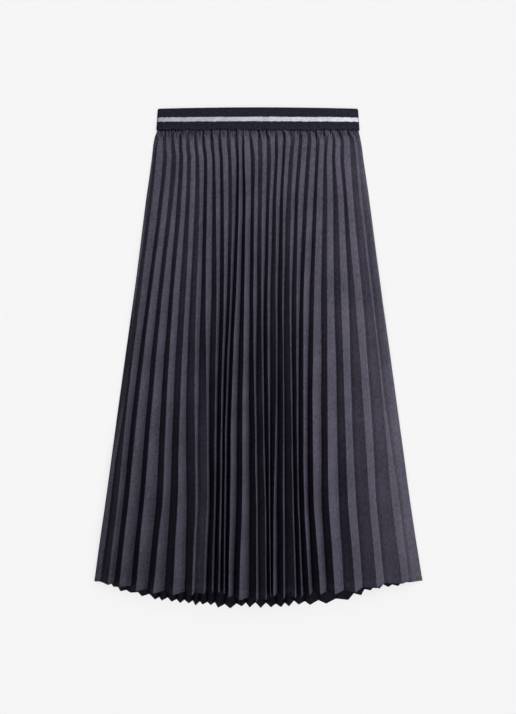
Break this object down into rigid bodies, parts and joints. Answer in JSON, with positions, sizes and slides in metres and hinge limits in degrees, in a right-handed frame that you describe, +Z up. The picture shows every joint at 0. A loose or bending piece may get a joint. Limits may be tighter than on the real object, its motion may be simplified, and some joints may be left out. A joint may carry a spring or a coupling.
{
  "type": "pleated midi skirt",
  "caption": "Pleated midi skirt lying flat, front up: sunray pleats under a wide striped elastic waistband, the back's hem showing below the front's.",
  "frame": {"origin": "centre of the box's underside, on the surface that the skirt lies on", "axes": "+X across the skirt, to the right seen from the front; +Y from the hem to the waist; +Z up, out of the skirt's front"},
  "size_m": [0.536, 0.82, 0.0451],
  "materials": {
    "pleated_cloth": "dark charcoal satin-faced cloth with a faint violet cast and a soft sheen",
    "waistband_elastic": "matt navy woven elastic with a silver metallic-yarn stripe"
  },
  "bodies": {
    "root": {"waistband": "waistband_elastic", "skirt_front": "pleated_cloth", "skirt_back": "pleated_cloth"}
  },
  "joints": []
}
